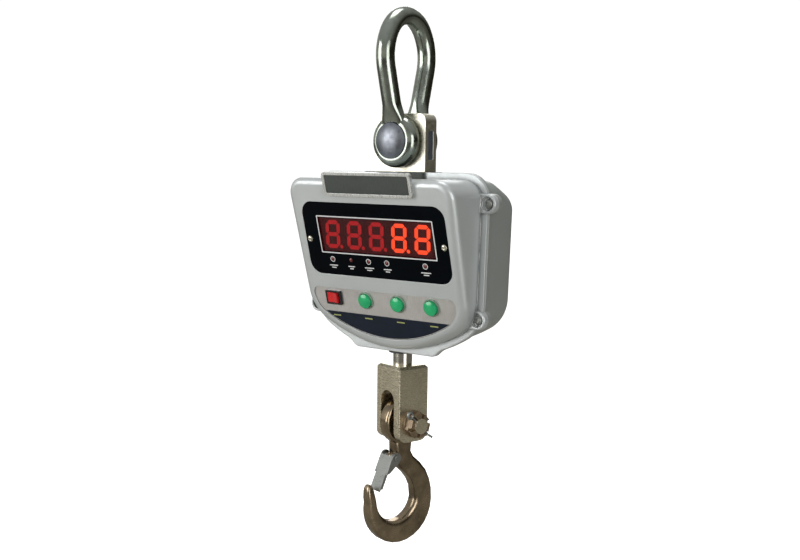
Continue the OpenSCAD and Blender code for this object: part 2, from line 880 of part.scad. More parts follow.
module swivel_stud() {
    top = CASE_Z + STUD_TOP;
    low = CLEVIS_TOP_Z - STUD_GRIP;
    color("#b9b4a6")
    difference() {
        union() {
            translate([0, 0, low]) cylinder(r = stud_d / 2, h = top - low - 1.5);
            translate([0, 0, top - 1.5]) cylinder(r1 = stud_d / 2, r2 = stud_d / 2 - 1.5, h = 1.5);
        }
        at_clevis(top - 6) rod_x(1.7, -20, 20);
    }
}

module stud_nut() {
    color("#9ea0a2")
    at_clevis(CASE_Z + STUD_NUT_LOW)
    castle_nut(30, STUD_NUT_T, stud_d / 2 + RUN);
}

module stud_split_pin() {
    color("#b5b7b8")
    at_clevis(CASE_Z + STUD_TOP - 6)
    rod_x(1.6, -15, 15);
}

module clevis() {
    chamfer = 3;
    edge = 1.2;
    round_r = 12;
    top = clevis_h;
    color("#cdc6b2")
    at_clevis(CLEVIS_LOW_Z)
    difference() {
        intersection() {
            linear_extrude(clevis_h)
            polygon([for (s = [[1, 1], [-1, 1], [-1, -1], [1, -1]], k = [0, 1])
                let (flip = s[0] * s[1] > 0 ? k : 1 - k)
                [s[0] * (CHEEK_X - edge * flip), s[1] * (CHEEK_X - edge * (1 - flip))]]);
            along_x(-CHEEK_X, CHEEK_X)
            polygon(both_sides(concat(
                [[CHEEK_X - chamfer, top], [CHEEK_X, top - chamfer]],
                arc([CHEEK_X - round_r, round_r], round_r, 0, -90, 8))));
            along_y(-CHEEK_X, CHEEK_X)
            polygon(both_sides([[CHEEK_X - chamfer, top], [CHEEK_X, top - chamfer], [CHEEK_X, edge],
                [CHEEK_X - edge, 0]]));
        }
        translate([0, 0, SLOT_TOP_Z - CLEVIS_LOW_Z - slot_w / 2]) rod_y(slot_w / 2, -30, 30);
        box([-slot_w / 2, -30, -1], [slot_w / 2, 30, SLOT_TOP_Z - CLEVIS_LOW_Z - slot_w / 2]);
        translate([0, 0, HOOK_PIN_Z - CLEVIS_LOW_Z]) rod_x(hook_pin_d / 2 + RUN, -30, 30);
        translate([0, 0, clevis_h - STUD_GRIP]) cylinder(r = stud_d / 2 + RUN, h = 30);
    }
}

module clevis_pin() {
    color("#a8a294")
    at_clevis(HOOK_PIN_Z)
    difference() {
        union() {
            rod_x(hook_pin_d / 2, -CHEEK_X - 1, CHEEK_X + 14);
            intersection() {
                rod_x(13, -CHEEK_X - 5.1, -CHEEK_X - 0.1);
                translate([22 - CHEEK_X - 5.1, 0, 0]) sphere(r = 22.6);
            }
        }
        translate([CHEEK_X + 10.6, 0, 0]) rotate([45, 0, 0]) cylinder(r = 1.6, h = 40, center = true);
    }
}

module clevis_washer() {
    color("#8d7f6d")
    at_clevis(HOOK_PIN_Z)
    translate([CHEEK_X + 0.1, 0, 0])
    rotate([0, 90, 0])
    ring(14, hook_pin_d / 2 + RUN, 2.5);
}

module clevis_nut() {
    color("#8a8376")
    at_clevis(HOOK_PIN_Z)
    translate([CHEEK_X + 2.7, 0, 0])
    rotate([0, 90, 0])
    rotate([0, 0, 45])
    castle_nut(24, 10, hook_pin_d / 2 + RUN);
}

module clevis_split_pin() {
    color("#c2c4c4")
    at_clevis(HOOK_PIN_Z)
    translate([CHEEK_X + 10.6, 0, 0])
    rotate([45, 0, 0])
    rotate([0, 90, 0])
    split_pin(1.5, 14.3, 3);
}

// ---- hook and latch ----

// The hook's outline from its pin's centre, in Y and Z: neck, shoulder, body and point
module hook_outline() {
    difference() {
        union() {
            translate(BODY_C) circle(hook_r, $fn = 96);
            polygon([[-17, -18], [-15.5, -28], LATCH_C, [-6, -60], [20, -62], [37.7, BODY_C[1]], [36.5, -72],
                [32.2, -60], [25, -49], [16, -41], [8, -35.5], [8.5, -29], [14, -20]]);
            translate(POINT_C) circle(4, $fn = 32);
            polygon([[-46.3, BODY_C[1]], POINT_C - [4, 0], POINT_C, [-36, -78]]);
        }
        translate(BOWL_C) circle(bowl_r, $fn = 96);
        polygon([BOWL_C, [-35.4, -79], POINT_C + [3.6, 1.5], POINT_C + [0, 4.1], [-60, -60], [-60, -40],
            [-24, -36], LATCH_C, [-13, -47], [-5, -51], [3, -57], [9, -65], [12.5, -73]]);
    }
}

module hook() {
    color("#9c8672")
    at_clevis(HOOK_PIN_Z)
    difference() {
        union() {
            difference() {
                along_x(-hook_t / 2, hook_t / 2) hook_outline();
                translate([0, LATCH_C[0], LATCH_C[1]])
                for (side = [-1, 1])
                    rod_x(8, min(side * 4, side * 20), max(side * 4, side * 20));
            }
            translate([0, LATCH_C[0], LATCH_C[1]]) rod_x(4.2, -4, 4);
            translate([0, 0, EYE_DROP]) rod_x(EYE_R, -EYE_T / 2, EYE_T / 2);
        }
        rod_x(hook_pin_d / 2 + RUN, -20, 20);
        translate([0, LATCH_C[0], LATCH_C[1]]) rod_x(LATCH_PIN_R, -20, 20);
    }
}

module at_latch() { at_clevis(HOOK_PIN_Z) translate([0, LATCH_C[0], LATCH_C[1]]) children(); }

module latch_pin() {
    color("#b9bcbd")
    at_latch() {
        rod_x(LATCH_PIN_R, -LATCH_HALF_W - 0.4, LATCH_HALF_W + 0.4);
        for (side = [-1, 1])
            translate([side * (LATCH_HALF_W + 1), 0, 0]) rod_x(3.6, -0.7, 0.7);
    }
}

// A closed torsion spring on the latch's pin, between the hook's lug and one ear of the latch
module latch_spring() {
    wire_r = 0.7;
    coil_r = 3.6;
    color("#8a8c8e")
    at_latch()
    for (i = [0:2])
        translate([4.9 + i * 1.45, 0, 0])
        rotate([0, 90, 0])
        rotate_extrude($fn = 32)
        translate([coil_r, 0])
        circle(wire_r + 0.05, $fn = 16);
}

// The latch: a folded sheet whose ears hold the pin and whose end rests inside the hook's point
module latch() {
    inner = LATCH_HALF_W - SHEET_T;
    strip_w = 8.2;
    color("#c0c4c3")
    at_latch()
    rotate([-LATCH_LEAN, 0, 0])
    difference() {
        union() {
            for (side = [-1, 1])
                along_x(side > 0 ? inner : -LATCH_HALF_W, side > 0 ? LATCH_HALF_W : -inner) {
                    circle(5.6);
                    polygon([[-6, 0], [-6, -20], [-2, -17], [5, -3]]);
                }
            box([-LATCH_HALF_W, -6, -18], [LATCH_HALF_W, -6 + SHEET_T, 0]);
            box([-strip_w, -6, -LATCH_L], [strip_w, -6 + SHEET_T, -17]);
            for (side = [-1, 1])
                box([min(side * strip_w, side * (strip_w - SHEET_T)), -6, 3 - LATCH_L],
                    [max(side * strip_w, side * (strip_w - SHEET_T)), -2.6, -17]);
        }
        rod_x(LATCH_PIN_R + RUN, -20, 20);
    }
}

shackle_bow();
shackle_pin();
shackle_washer();
shackle_split_pin();
load_cell();
gauge_covers();
top_collar();
stud_bush();
thrust_race_lower();
front_shell();
rear_shell();
shell_seal();
shell_screws();
nameplate();
nameplate_insert();
display_panel();
display_lens();
panel_screws();
digit_modules();
indicator_lamps();
display_board();
control_plate();
control_label();
rocker_bezel();
rocker();
button_bezels();
button_housings();
button_left();
button_middle();
button_right();
main_board();
battery();
battery_cover();
battery_cover_seal();
battery_cover_screws();
charging_socket();
swivel_stud();
stud_nut();
stud_split_pin();
thrust_race_upper();
thrust_balls();
clevis();
clevis_pin();
clevis_washer();
clevis_nut();
clevis_split_pin();
hook();
latch_pin();
latch_spring();
latch();
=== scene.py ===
"""Looks of a hanging crane scale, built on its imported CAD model. Lengths are in millimetres unless noted."""
import json
import math

import bmesh
import bpy
from mathutils import Matrix, Vector


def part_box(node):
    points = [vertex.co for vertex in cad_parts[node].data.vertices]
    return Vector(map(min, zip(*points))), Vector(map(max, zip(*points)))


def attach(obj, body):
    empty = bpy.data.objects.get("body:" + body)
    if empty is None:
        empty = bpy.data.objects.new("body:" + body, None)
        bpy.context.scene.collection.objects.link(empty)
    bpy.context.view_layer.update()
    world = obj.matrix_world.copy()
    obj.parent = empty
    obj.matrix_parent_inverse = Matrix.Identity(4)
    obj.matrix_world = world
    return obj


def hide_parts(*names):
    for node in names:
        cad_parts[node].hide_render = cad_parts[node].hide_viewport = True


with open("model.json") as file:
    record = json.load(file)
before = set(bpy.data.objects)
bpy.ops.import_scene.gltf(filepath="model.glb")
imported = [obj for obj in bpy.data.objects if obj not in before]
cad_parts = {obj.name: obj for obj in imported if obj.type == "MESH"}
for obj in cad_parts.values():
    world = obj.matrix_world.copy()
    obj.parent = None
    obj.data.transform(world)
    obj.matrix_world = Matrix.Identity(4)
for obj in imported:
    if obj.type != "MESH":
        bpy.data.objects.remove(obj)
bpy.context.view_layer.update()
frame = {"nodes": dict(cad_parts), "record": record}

nodes = frame["nodes"]
MM = 0.001

# Heights and places that the CAD model shares, in millimetres
CASE_Z = -149.5
PIN_Z = -118.0
HOOK_PIN_Z = -412.0
SEAM_Y = -12.0
BACK_Y = 50.0
CORNER_X, CORNER_R = 87.0, 26.0
SIDE_X, SIDE_R = 65.0, 45.0
BELLY_Z, BELLY_R = -18.0, 172.0
SIDE_Z = BELLY_Z - math.sqrt((BELLY_R - SIDE_R) ** 2 - SIDE_X ** 2)
SIDE_END = math.atan2(BELLY_Z - SIDE_Z, SIDE_X)
PAD_TOP = -36.5
PANEL_X = 2.0
PANEL_SCREWS = (PANEL_X - 86.2, PANEL_X + 86.2)
EAR_OUT = 24.8
CASE_H = 187.0
TILT = math.radians(15)
FOOT_TOP_X, FOOT_X = 60.0, 51.0
FOOT_HOLE_R = 13.1
KEYS_X = (-22.3, 19.7, 61.7)
KEYS_Z = -47.4
ROCKER_X = -65.3
DIGITS_X, DIGITS_Z, DIGIT_PITCH = 4.4, 23.0, 28.8
DIGIT_LEAN = math.tan(math.radians(9))
SEGMENT_LEVELS = (-1.88, -1.72)
PRINT_LEVELS = (0.0, 0.12)
LAMPS_Z = -3.8
FACE = Matrix.Translation((0, -48, CASE_Z - 88)) @ Matrix.Rotation(math.radians(105), 4, "X")
CASE = Matrix.Translation((0, 0, CASE_Z))
CLEVIS = Matrix.Rotation(math.radians(-15), 4, "Z") @ Matrix.Translation((0, 0, HOOK_PIN_Z))


# ---- mesh helpers ----

def link(name, verts, faces, place=Matrix.Identity(4)):
    """An object from points in millimetres, placed by a matrix in millimetres."""
    mesh = bpy.data.meshes.new(name)
    mesh.from_pydata([tuple((place @ Vector(v)) * MM) for v in verts], [], faces)
    mesh.validate()
    obj = bpy.data.objects.new(name, mesh)
    bpy.context.scene.collection.objects.link(obj)
    return obj


def recalc(obj):
    """Turns every face outwards."""
    bm = bmesh.new()
    bm.from_mesh(obj.data)
    bmesh.ops.recalc_face_normals(bm, faces=bm.faces)
    bm.to_mesh(obj.data)
    bm.free()
    return obj


def loft(name, rings, place=Matrix.Identity(4), wrap=False):
    """A skin over closed rings of equally many points, capped at its ends unless it wraps round."""
    n = len(rings[0])
    verts = [p for ring in rings for p in ring]
    faces = []
    count = len(rings)
    for k in range(count if wrap else count - 1):
        a, b = k * n, (k + 1) % count * n
        for i in range(n):
            j = (i + 1) % n
            faces.append((a + i, a + j, b + j, b + i))
    if not wrap:
        faces.append(tuple(range(n)))
        faces.append(tuple(range((count - 1) * n, count * n)))
    return recalc(link(name, verts, faces, place))


def lathe(name, profile, place=Matrix.Identity(4), steps=72):
    """Turns a closed profile of (radius, height) about the place's Z axis."""
    rings = []
    for k in range(steps):
        a = 2 * math.pi * k / steps
        rings.append([(r * math.cos(a), r * math.sin(a), h) for r, h in profile])
    return loft(name, rings, place, wrap=True)


def slab(name, outline, low, high, place=Matrix.Identity(4)):
    """A prism from an outline of (x, y) between two heights."""
    return loft(name, [[(x, y, low) for x, y in outline], [(x, y, high) for x, y in outline]], place)


def round_rect(w, h, r, cx=0.0, cy=0.0, steps=8):
    pts = []
    for sx, sy, start in ((1, 1, 0), (-1, 1, 90), (-1, -1, 180), (1, -1, 270)):
        for k in range(steps + 1):
            a = math.radians(start + 90 * k / steps)
            pts.append((cx + sx * (w / 2 - r) + r * math.cos(a), cy + sy * (h / 2 - r) + r * math.sin(a)))
    return pts


def circle(r, cx=0.0, cy=0.0, steps=64):
    return [(cx + r * math.cos(2 * math.pi * k / steps), cy + r * math.sin(2 * math.pi * k / steps))
            for k in range(steps)]


def join(name, parts):
    """One object from several meshes, which keep their own surfaces."""
    bm = bmesh.new()
    for p in parts:
        bm.from_mesh(p.data)
    mesh = bpy.data.meshes.new(name)
    bm.to_mesh(mesh)
    bm.free()
    for p in parts:
        bpy.data.objects.remove(p)
    obj = bpy.data.objects.new(name, mesh)
    bpy.context.scene.collection.objects.link(obj)
    return obj


def carve(obj, cutters):
    """Cuts closed cutters from an object and drops them."""
    for c in cutters:
        m = obj.modifiers.new("cut", "BOOLEAN")
        m.operation = "DIFFERENCE"
        m.solver = "EXACT"
        m.object = c
    graph = bpy.context.evaluated_depsgraph_get()
    mesh = bpy.data.meshes.new_from_object(obj.evaluated_get(graph))
    obj.modifiers.clear()
    obj.data = mesh
    for c in cutters:
        bpy.data.objects.remove(c)
    return obj


def finish(obj, material, body, slot, *stands_for, angle=35, weighted=True):
    """Shades a piece, gives it its material and lets it ride on its body."""
    for p in obj.data.polygons:
        p.use_smooth = True
    obj.data.set_sharp_from_angle(angle=math.radians(angle))
    obj.data.materials.clear()
    obj.data.materials.append(material)
    if weighted:
        m = obj.modifiers.new("normals", "WEIGHTED_NORMAL")
        m.keep_sharp = True
    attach(obj, body)
    if stands_for:
        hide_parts(*stands_for)
    return obj


# ---- material helpers ----

class Nodes:
    """A principled material with its node tree, and short calls to add to it."""

    def __init__(self, name, color, roughness, metallic=0.0, **sockets):
        self.mat = bpy.data.materials.new(name)
        self.mat.use_nodes = True
        self.tree = self.mat.node_tree
        self.shader = self.tree.nodes["Principled BSDF"]
        self.shader.inputs["Base Color"].default_value = tuple(color) + (1.0,)
        self.shader.inputs["Roughness"].default_value = roughness
        self.shader.inputs["Metallic"].default_value = metallic
        for key, value in sockets.items():
            self.shader.inputs[key.replace("_", " ")].default_value = value
        self.coords = self.tree.nodes.new("ShaderNodeTexCoord").outputs["Object"]
        self.normal = None

    def add(self, kind, **values):
        node = self.tree.nodes.new(kind)
        for key, value in values.items():
            setattr(node, key, value)
        return node

    def wire(self, a, b):
        self.tree.links.new(a, b)

    def noise(self, scale, detail=3.0, rough=0.55, stretch=None, distortion=0.0):
        """A noise pattern of so many cells a metre, stretched along an axis if asked."""
        source = self.coords
        if stretch:
            m = self.add("ShaderNodeMapping")
            m.inputs["Scale"].default_value = stretch
            self.wire(source, m.inputs["Vector"])
            source = m.outputs["Vector"]
        n = self.add("ShaderNodeTexNoise")
        n.inputs["Scale"].default_value = scale
        n.inputs["Detail"].default_value = detail
        n.inputs["Roughness"].default_value = rough
        n.inputs["Distortion"].default_value = distortion
        self.wire(source, n.inputs["Vector"])
        return n.outputs["Fac"]

    def range(self, value, low, high, to_low, to_high):
        m = self.add("ShaderNodeMapRange")
        for key, v in (("From Min", low), ("From Max", high), ("To Min", to_low), ("To Max", to_high)):
            m.inputs[key].default_value = v
        self.wire(value, m.inputs["Value"])
        return m.outputs["Result"]

    def times(self, a, b):
        m = self.add("ShaderNodeMath", operation="MULTIPLY")
        self.wire(a, m.inputs[0])
        self.wire(b, m.inputs[1])
        return m.outputs[0]

    def blend(self, factor, a, b):
        """Mixes two colours, each a colour or a socket, by a socket."""
        m = self.add("ShaderNodeMix", data_type="RGBA")
        self.wire(factor, m.inputs["Factor"])
        for value, socket in ((a, m.inputs[6]), (b, m.inputs[7])):
            if isinstance(value, tuple):
                socket.default_value = value if len(value) == 4 else value + (1.0,)
            else:
                self.wire(value, socket)
        return m.outputs[2]

    def bump(self, height, strength, distance):
        b = self.add("ShaderNodeBump")
        b.inputs["Strength"].default_value = strength
        b.inputs["Distance"].default_value = distance
        self.wire(height, b.inputs["Height"])
        if self.normal is not None:
            self.wire(self.normal, b.inputs["Normal"])
        self.normal = b.outputs["Normal"]

    def soft_edges(self, radius):
        """Rounds sharp edges in the shading, by so many metres."""
        b = self.add("ShaderNodeBevel", samples=4)
        b.inputs["Radius"].default_value = radius
        self.normal = b.outputs["Normal"]

    def edges(self, radius, low=0.02, high=0.22):
        """A mask that is 1 along sharp edges, within so many metres."""
        b = self.add("ShaderNodeBevel", samples=4)
        b.inputs["Radius"].default_value = radius
        g = self.add("ShaderNodeNewGeometry")
        d = self.add("ShaderNodeVectorMath", operation="DOT_PRODUCT")
        self.wire(b.outputs["Normal"], d.inputs[0])
        self.wire(g.outputs["Normal"], d.inputs[1])
        return self.range(d.outputs["Value"], 1.0 - low, 1.0 - high, 0.0, 1.0)

    def corner_shade(self, reach, low, high, darkest):
        """Painted shade: a factor that falls to the darkest in corners narrower than so many metres."""
        a = self.add("ShaderNodeAmbientOcclusion", samples=8, only_local=True)
        a.inputs["Distance"].default_value = reach
        return self.range(a.outputs["AO"], low, high, darkest, 1.0)

    def paint(self, socket):
        self.wire(socket, self.shader.inputs["Base Color"])

    def gloss(self, socket):
        self.wire(socket, self.shader.inputs["Roughness"])

    def done(self):
        if self.normal is not None:
            self.wire(self.normal, self.shader.inputs["Normal"])
        return self.mat


# bare aluminium for rubbed edges, which also serves as a painted highlight along them
BARE_AND_HIGHLIGHT_SILVER = (0.86, 0.87, 0.86)


def shade(color, factor):
    return tuple(min(1.0, c * factor) for c in color) + (1.0,)


def powder_coat(name, color, rough=0.38):
    """Cast aluminium under a silver paint: fine grain, soft cloudiness, rubbed edges that also carry a painted
    highlight, and painted shade darkening its corners.
    """
    n = Nodes(name, color, rough, 0.45, Coat_Weight=0.25, Coat_Roughness=0.25)
    n.soft_edges(0.0006)
    cloud = n.range(n.noise(16, 4), 0.3, 0.7, 0.0, 1.0)
    speck = n.range(n.noise(1900, 2, 0.7), 0.38, 0.62, 0.0, 1.0)
    base = n.blend(cloud, shade(color, 0.95), shade(color, 1.05))
    flake = n.blend(speck, shade(color, 0.90), shade(color, 1.12))
    mixed = n.add("ShaderNodeMix", data_type="RGBA")
    mixed.inputs["Factor"].default_value = 0.4
    n.wire(base, mixed.inputs[6])
    n.wire(flake, mixed.inputs[7])
    # rubbed edges: bare metal showing through wear, and also a painted highlight along the edges
    rubbed_and_highlit = n.times(n.edges(0.0013), n.range(n.noise(70, 5), 0.36, 0.58, 0.0, 0.9))
    # painted shade: corners and the joints beside rims and lugs are darkened by ambient occlusion
    corner_shaded = n.blend(n.corner_shade(0.006, 0.45, 0.85, 0.0), shade(color, 0.28), mixed.outputs[2])
    n.paint(n.blend(rubbed_and_highlit, corner_shaded, BARE_AND_HIGHLIGHT_SILVER))
    n.gloss(n.range(n.noise(120, 5), 0.25, 0.75, rough - 0.06, rough + 0.09))
    n.bump(n.noise(1300, 3, 0.6), 0.35, 0.00005)
    n.bump(n.noise(90, 2), 0.25, 0.00018)
    return n.done()


def forged(name, color, dark, rough, scale, amount, dent):
    """Forged and plated steel: long soft dents, stained patches and small pits."""
    n = Nodes(name, color, rough, 1.0)
    n.soft_edges(0.0007)
    stain = n.range(n.noise(scale, 6, 0.62), 0.42, 0.72, 0.0, amount)
    n.paint(n.blend(stain, tuple(color), tuple(dark)))
    n.gloss(n.range(n.noise(scale * 2.4, 6, 0.65), 0.3, 0.75, rough * 0.6, rough * 2.2))
    n.bump(n.noise(55, 2), 0.5, dent)
    n.bump(n.noise(420, 4, 0.6), 0.25, 0.00006)
    pits = n.range(n.noise(900, 2, 0.4), 0.66, 0.74, 1.0, 0.0)
    n.bump(pits, 0.25, 0.00006)
    return n.done()


def machined(name, color, rough=0.26, along=(1, 1, 14), stain=(0.45, 0.38, 0.28), amount=0.25, edge=0.0005):
    """Machined or plated steel: fine tool lines across one axis, light stains and edges painted lighter as a
    painted highlight.
    """
    n = Nodes(name, color, rough, 1.0)
    n.soft_edges(edge)
    lines = n.noise(260, 4, 0.7, stretch=along)
    spot = n.range(n.noise(38, 5, 0.6), 0.48, 0.72, 0.0, amount)
    body = n.blend(n.range(lines, 0.3, 0.7, 0.0, 1.0), shade(color, 0.88), shade(color, 1.08))
    bright = n.blend(spot, body, tuple(stain))
    # edges painted lighter than the body: a painted highlight
    n.paint(n.blend(n.range(n.edges(edge * 2.2), 0, 1, 0, 0.6), bright, shade(color, 1.3)))
    n.gloss(n.range(n.noise(150, 4, stretch=along), 0.3, 0.7, rough * 0.7, rough * 1.5))
    n.bump(lines, 0.12, 0.00004)
    return n.done()


def moulded(name, color, rough=0.3, grain=0.2, **sockets):
    """Moulded plastic: slight colour drift, a soft skin and rounded edges."""
    n = Nodes(name, color, rough, 0.0, **sockets)
    n.soft_edges(0.0004)
    n.paint(n.blend(n.range(n.noise(60, 3), 0.3, 0.7, 0, 1), shade(color, 0.86), shade(color, 1.16)))
    n.gloss(n.range(n.noise(240, 4), 0.3, 0.75, rough * 0.8, rough * 1.35))
    n.bump(n.noise(1500, 2), grain, 0.00003)
    return n.done()


def printed(name, color):
    """Screen-printed ink: thin uneven cover."""
    n = Nodes(name, color, 0.45)
    n.paint(n.blend(n.range(n.noise(1100, 3), 0.35, 0.7, 0, 1), shade(color, 0.82), shade(color, 1.05)))
    n.bump(n.noise(2200, 2), 0.15, 0.00002)
    return n.done()


def glowing(name, color, strength, base):
    """A diffused segment whose glow varies a little from place to place."""
    n = Nodes(name, base, 0.5)
    n.shader.inputs["Emission Strength"].default_value = strength
    glow = n.blend(n.range(n.noise(420, 3), 0.3, 0.7, 0, 1), shade(color, 0.88), shade(color, 1.08))
    n.wire(glow, n.shader.inputs["Emission Color"])
    n.bump(n.noise(1500, 2), 0.1, 0.00002)
    return n.done()


def rubbery(name, color):
    """Dusty rubber."""
    n = Nodes(name, color, 0.65)
    n.soft_edges(0.0008)
    dust = n.range(n.noise(55, 6, 0.65), 0.45, 0.75, 0.0, 0.55)
    n.paint(n.blend(dust, tuple(color), shade(color, 2.2)))
    n.gloss(n.range(n.noise(300, 4), 0.3, 0.7, 0.55, 0.80))
    n.bump(n.noise(1000, 3), 0.3, 0.00005)
    return n.done()


MATERIALS = {
    "bow_steel": forged("bow_steel", (0.37, 0.41, 0.365), (0.12, 0.12, 0.08), 0.13, 40, 0.6, 0.00030),
    "pin_steel": machined("pin_steel", (0.21, 0.225, 0.255), 0.34, (1, 1, 1), (0.30, 0.30, 0.32), 0.4),
    "fastener_steel": machined("fastener_steel", (0.60, 0.60, 0.58), 0.28, (1, 8, 1)),
    "load_cell_steel": machined("load_cell_steel", (0.72, 0.69, 0.59), 0.34,
        (1, 1, 10), (0.34, 0.28, 0.18), 0.3, 0.0008),
    "gauge_cover": machined("gauge_cover", (0.30, 0.35, 0.43), 0.35, (1, 10, 1)),
    "collar_rubber": rubbery("collar_rubber", (0.055, 0.062, 0.056)),
    "bush_plastic": moulded("bush_plastic", (0.03, 0.03, 0.032), 0.5),
    "bearing_steel": machined("bearing_steel", (0.66, 0.67, 0.68), 0.15),
    "front_paint": powder_coat("front_paint", (0.57, 0.60, 0.605)),
    "rear_paint": powder_coat("rear_paint", (0.36, 0.385, 0.37), 0.46),
    "seal_rubber": rubbery("seal_rubber", (0.02, 0.02, 0.02)),
    "shell_screw_steel": machined("shell_screw_steel", (0.42, 0.43, 0.42), 0.35),
    "nameplate_rim": machined("nameplate_rim", (0.72, 0.73, 0.72), 0.3, (14, 1, 1), (0.5, 0.5, 0.48), 0.15),
    "nameplate_face": machined("nameplate_face", (0.10, 0.11, 0.105), 0.42,
        (14, 1, 1), (0.06, 0.06, 0.06), 0.3),
    "panel_acrylic": moulded("panel_acrylic", (0.0015, 0.0025, 0.004), 0.22, 0.04, Specular_IOR_Level=0.04),
    "panel_screw_steel": machined("panel_screw_steel", (0.80, 0.77, 0.66), 0.16),
    "digit_plastic": moulded("digit_plastic", (0.030, 0.006, 0.007), 0.5),
    "lamp_plastic": moulded("lamp_plastic", (0.16, 0.02, 0.02), 0.15, 0.05, Coat_Weight=0.5),
    "board_green": moulded("board_green", (0.02, 0.13, 0.05), 0.4),
    "control_plate_metal": machined("control_plate_metal", (0.70, 0.68, 0.67), 0.42,
        (12, 1, 1), (0.45, 0.43, 0.42), 0.3),
    "label_navy": moulded("label_navy", (0.009, 0.014, 0.026), 0.38, 0.1, Specular_IOR_Level=0.2),
    "bezel_black": moulded("bezel_black", (0.010, 0.010, 0.012), 0.22, 0.08),
    "rocker_red": moulded("rocker_red", (0.62, 0.012, 0.016), 0.22, 0.08, Coat_Weight=0.4),
    "button_rim": moulded("button_rim", (0.22, 0.30, 0.24), 0.25, 0.1, Coat_Weight=0.3),
    "housing_black": moulded("housing_black", (0.015, 0.016, 0.018), 0.5),
    "button_green": moulded("button_green", (0.008, 0.42, 0.15), 0.20, 0.06,
        Coat_Weight=0.6, Coat_Roughness=0.08),
    "battery_case": moulded("battery_case", (0.06, 0.065, 0.08), 0.35),
    "cover_paint": powder_coat("cover_paint", (0.34, 0.36, 0.345), 0.48),
    "socket_black": moulded("socket_black", (0.012, 0.013, 0.015), 0.3),
    "stud_steel": machined("stud_steel", (0.66, 0.64, 0.58), 0.14, (1, 1, 9), (0.30, 0.26, 0.18), 0.35),
    "clevis_steel": machined("clevis_steel", (0.80, 0.73, 0.56), 0.26,
        (1, 1, 12), (0.34, 0.27, 0.18), 0.28, 0.0007),
    "clevis_washer_steel": machined("clevis_washer_steel", (0.36, 0.28, 0.20), 0.33, (1, 8, 1)),
    "hook_steel": forged("hook_steel", (0.40, 0.315, 0.215), (0.06, 0.05, 0.032), 0.16, 38, 0.75, 0.00025),
    "latch_steel": machined("latch_steel", (0.34, 0.35, 0.34), 0.36, (1, 1, 10), (0.4, 0.4, 0.38), 0.25),
    "spring_steel": machined("spring_steel", (0.34, 0.35, 0.36), 0.3),
}


def tinted_acrylic():
    """The red window over the digits."""
    n = Nodes("lens_acrylic", (0.10, 0.004, 0.006), 0.06, 0.0, Alpha=0.22, Specular_IOR_Level=0.12)
    n.paint(n.blend(n.range(n.noise(45, 3), 0.3, 0.7, 0, 1), (0.07, 0.003, 0.005), (0.13, 0.006, 0.008)))
    n.gloss(n.range(n.noise(200, 4), 0.3, 0.75, 0.04, 0.11))
    return n.done()


MATERIALS["lens_acrylic"] = tinted_acrylic()

for entry in frame["record"]["subparts"]:
    cad = nodes[entry["node"]]
    cad.data.materials.clear()
    cad.data.materials.append(MATERIALS[entry["material_slot"]])


# ---- shells ----

def line(a, b, n):
    return [(a[0] + (b[0] - a[0]) * k / n, a[1] + (b[1] - a[1]) * k / n) for k in range(n)]


def bend(a, corner, b, n):
    """A rounded corner from a to b, pulled towards the corner."""
    pts = []
    for k in range(n):
        t = k / n
        pts.append(tuple((1 - t) ** 2 * a[i] + 2 * t * (1 - t) * corner[i] + t * t * b[i] for i in (0, 1)))
    return pts


def towards(a, b, d):
    span = math.dist(a, b)
    return (a[0] + (b[0] - a[0]) * d / span, a[1] + (b[1] - a[1]) * d / span)


def sweep(centre, r, a0, a1, n):
    """n points of an arc, without its end; angles in radians."""
    angles = [a0 + (a1 - a0) * k / n for k in range(n)]
    return [(centre[0] + r * math.cos(a), centre[1] + r * math.sin(a)) for a in angles]


def shell_outline(inset, foot, drop=0.0):
    """The casing's closed outline in X and Z: the rear and its flange have a foot, the front body doesn't."""
    corner_r = CORNER_R - inset
    belly_r = BELLY_R - inset
    cz = -CORNER_R - drop
    side = sweep((SIDE_X, SIDE_Z), SIDE_R - inset, math.radians(-2), -SIDE_END, 16)
    half = line((0, cz + corner_r), (CORNER_X, cz + corner_r), 12)
    half += sweep((CORNER_X, cz), corner_r, math.pi / 2, 0, 14)
    half += line((CORNER_X + corner_r, cz), side[0], 10) + side
    if foot:
        stop = math.acos((FOOT_TOP_X - inset / 2) / belly_r)
        on_belly = lambda a: (belly_r * math.cos(a), BELLY_Z - belly_r * math.sin(a))
        knee = on_belly(stop)
        toe = (FOOT_X - inset / 2, inset - CASE_H)
        knee_in, knee_out = on_belly(stop - 6 / belly_r), towards(knee, toe, 3)
        toe_in, toe_out = towards(toe, knee, 3), (toe[0] - 4, toe[1])
        half += sweep((0, BELLY_Z), belly_r, -SIDE_END, 6 / belly_r - stop, 8)
        half += bend(knee_in, knee, knee_out, 5)
        half += line(knee_out, toe_in, 2)
        half += bend(toe_in, toe, toe_out, 5)
        half += line(toe_out, (0, toe[1]), 8) + [(0, toe[1])]
    else:
        half += sweep((0, BELLY_Z), belly_r, -SIDE_END, -math.pi / 2, 26) + [(0, BELLY_Z - belly_r)]
    return half + [(-x, z) for x, z in reversed(half[1:-1])]


def face_y(z):
    """Where the slanted front face lies at a height from the flange's top."""
    return -48 - (z + 88) * math.tan(TILT)


def front_body():
    """The front shell's body: straight walls that roll over into the slanted face."""
    edge = 8.0
    outer = shell_outline(7, False)
    inner = shell_outline(7 + edge, False)
    start = SEAM_Y - 3.2
    rings = [[(x, start, z) for x, z in outer]]
    depth = [start - face_y(z) for x, z in outer]
    radius = [min(edge, 0.8 * d) for d in depth]
    for k in (1, 2):
        rings.append([(x, start - (d - r) * k / 3, z) for (x, z), d, r in zip(outer, depth, radius)])
    steps = 8
    for k in range(steps + 1):
        a = math.pi / 2 * k / steps
        ring = []
        for (x0, z0), (x1, z1), r in zip(outer, inner, radius):
            t = r / edge * (1 - math.cos(a))
            x, z = x0 + (x1 - x0) * t, z0 + (z1 - z0) * t
            ring.append((x, face_y(z) + r * (1 - math.sin(a)), z))
        rings.append(ring)
    return loft("front_body", rings, CASE)


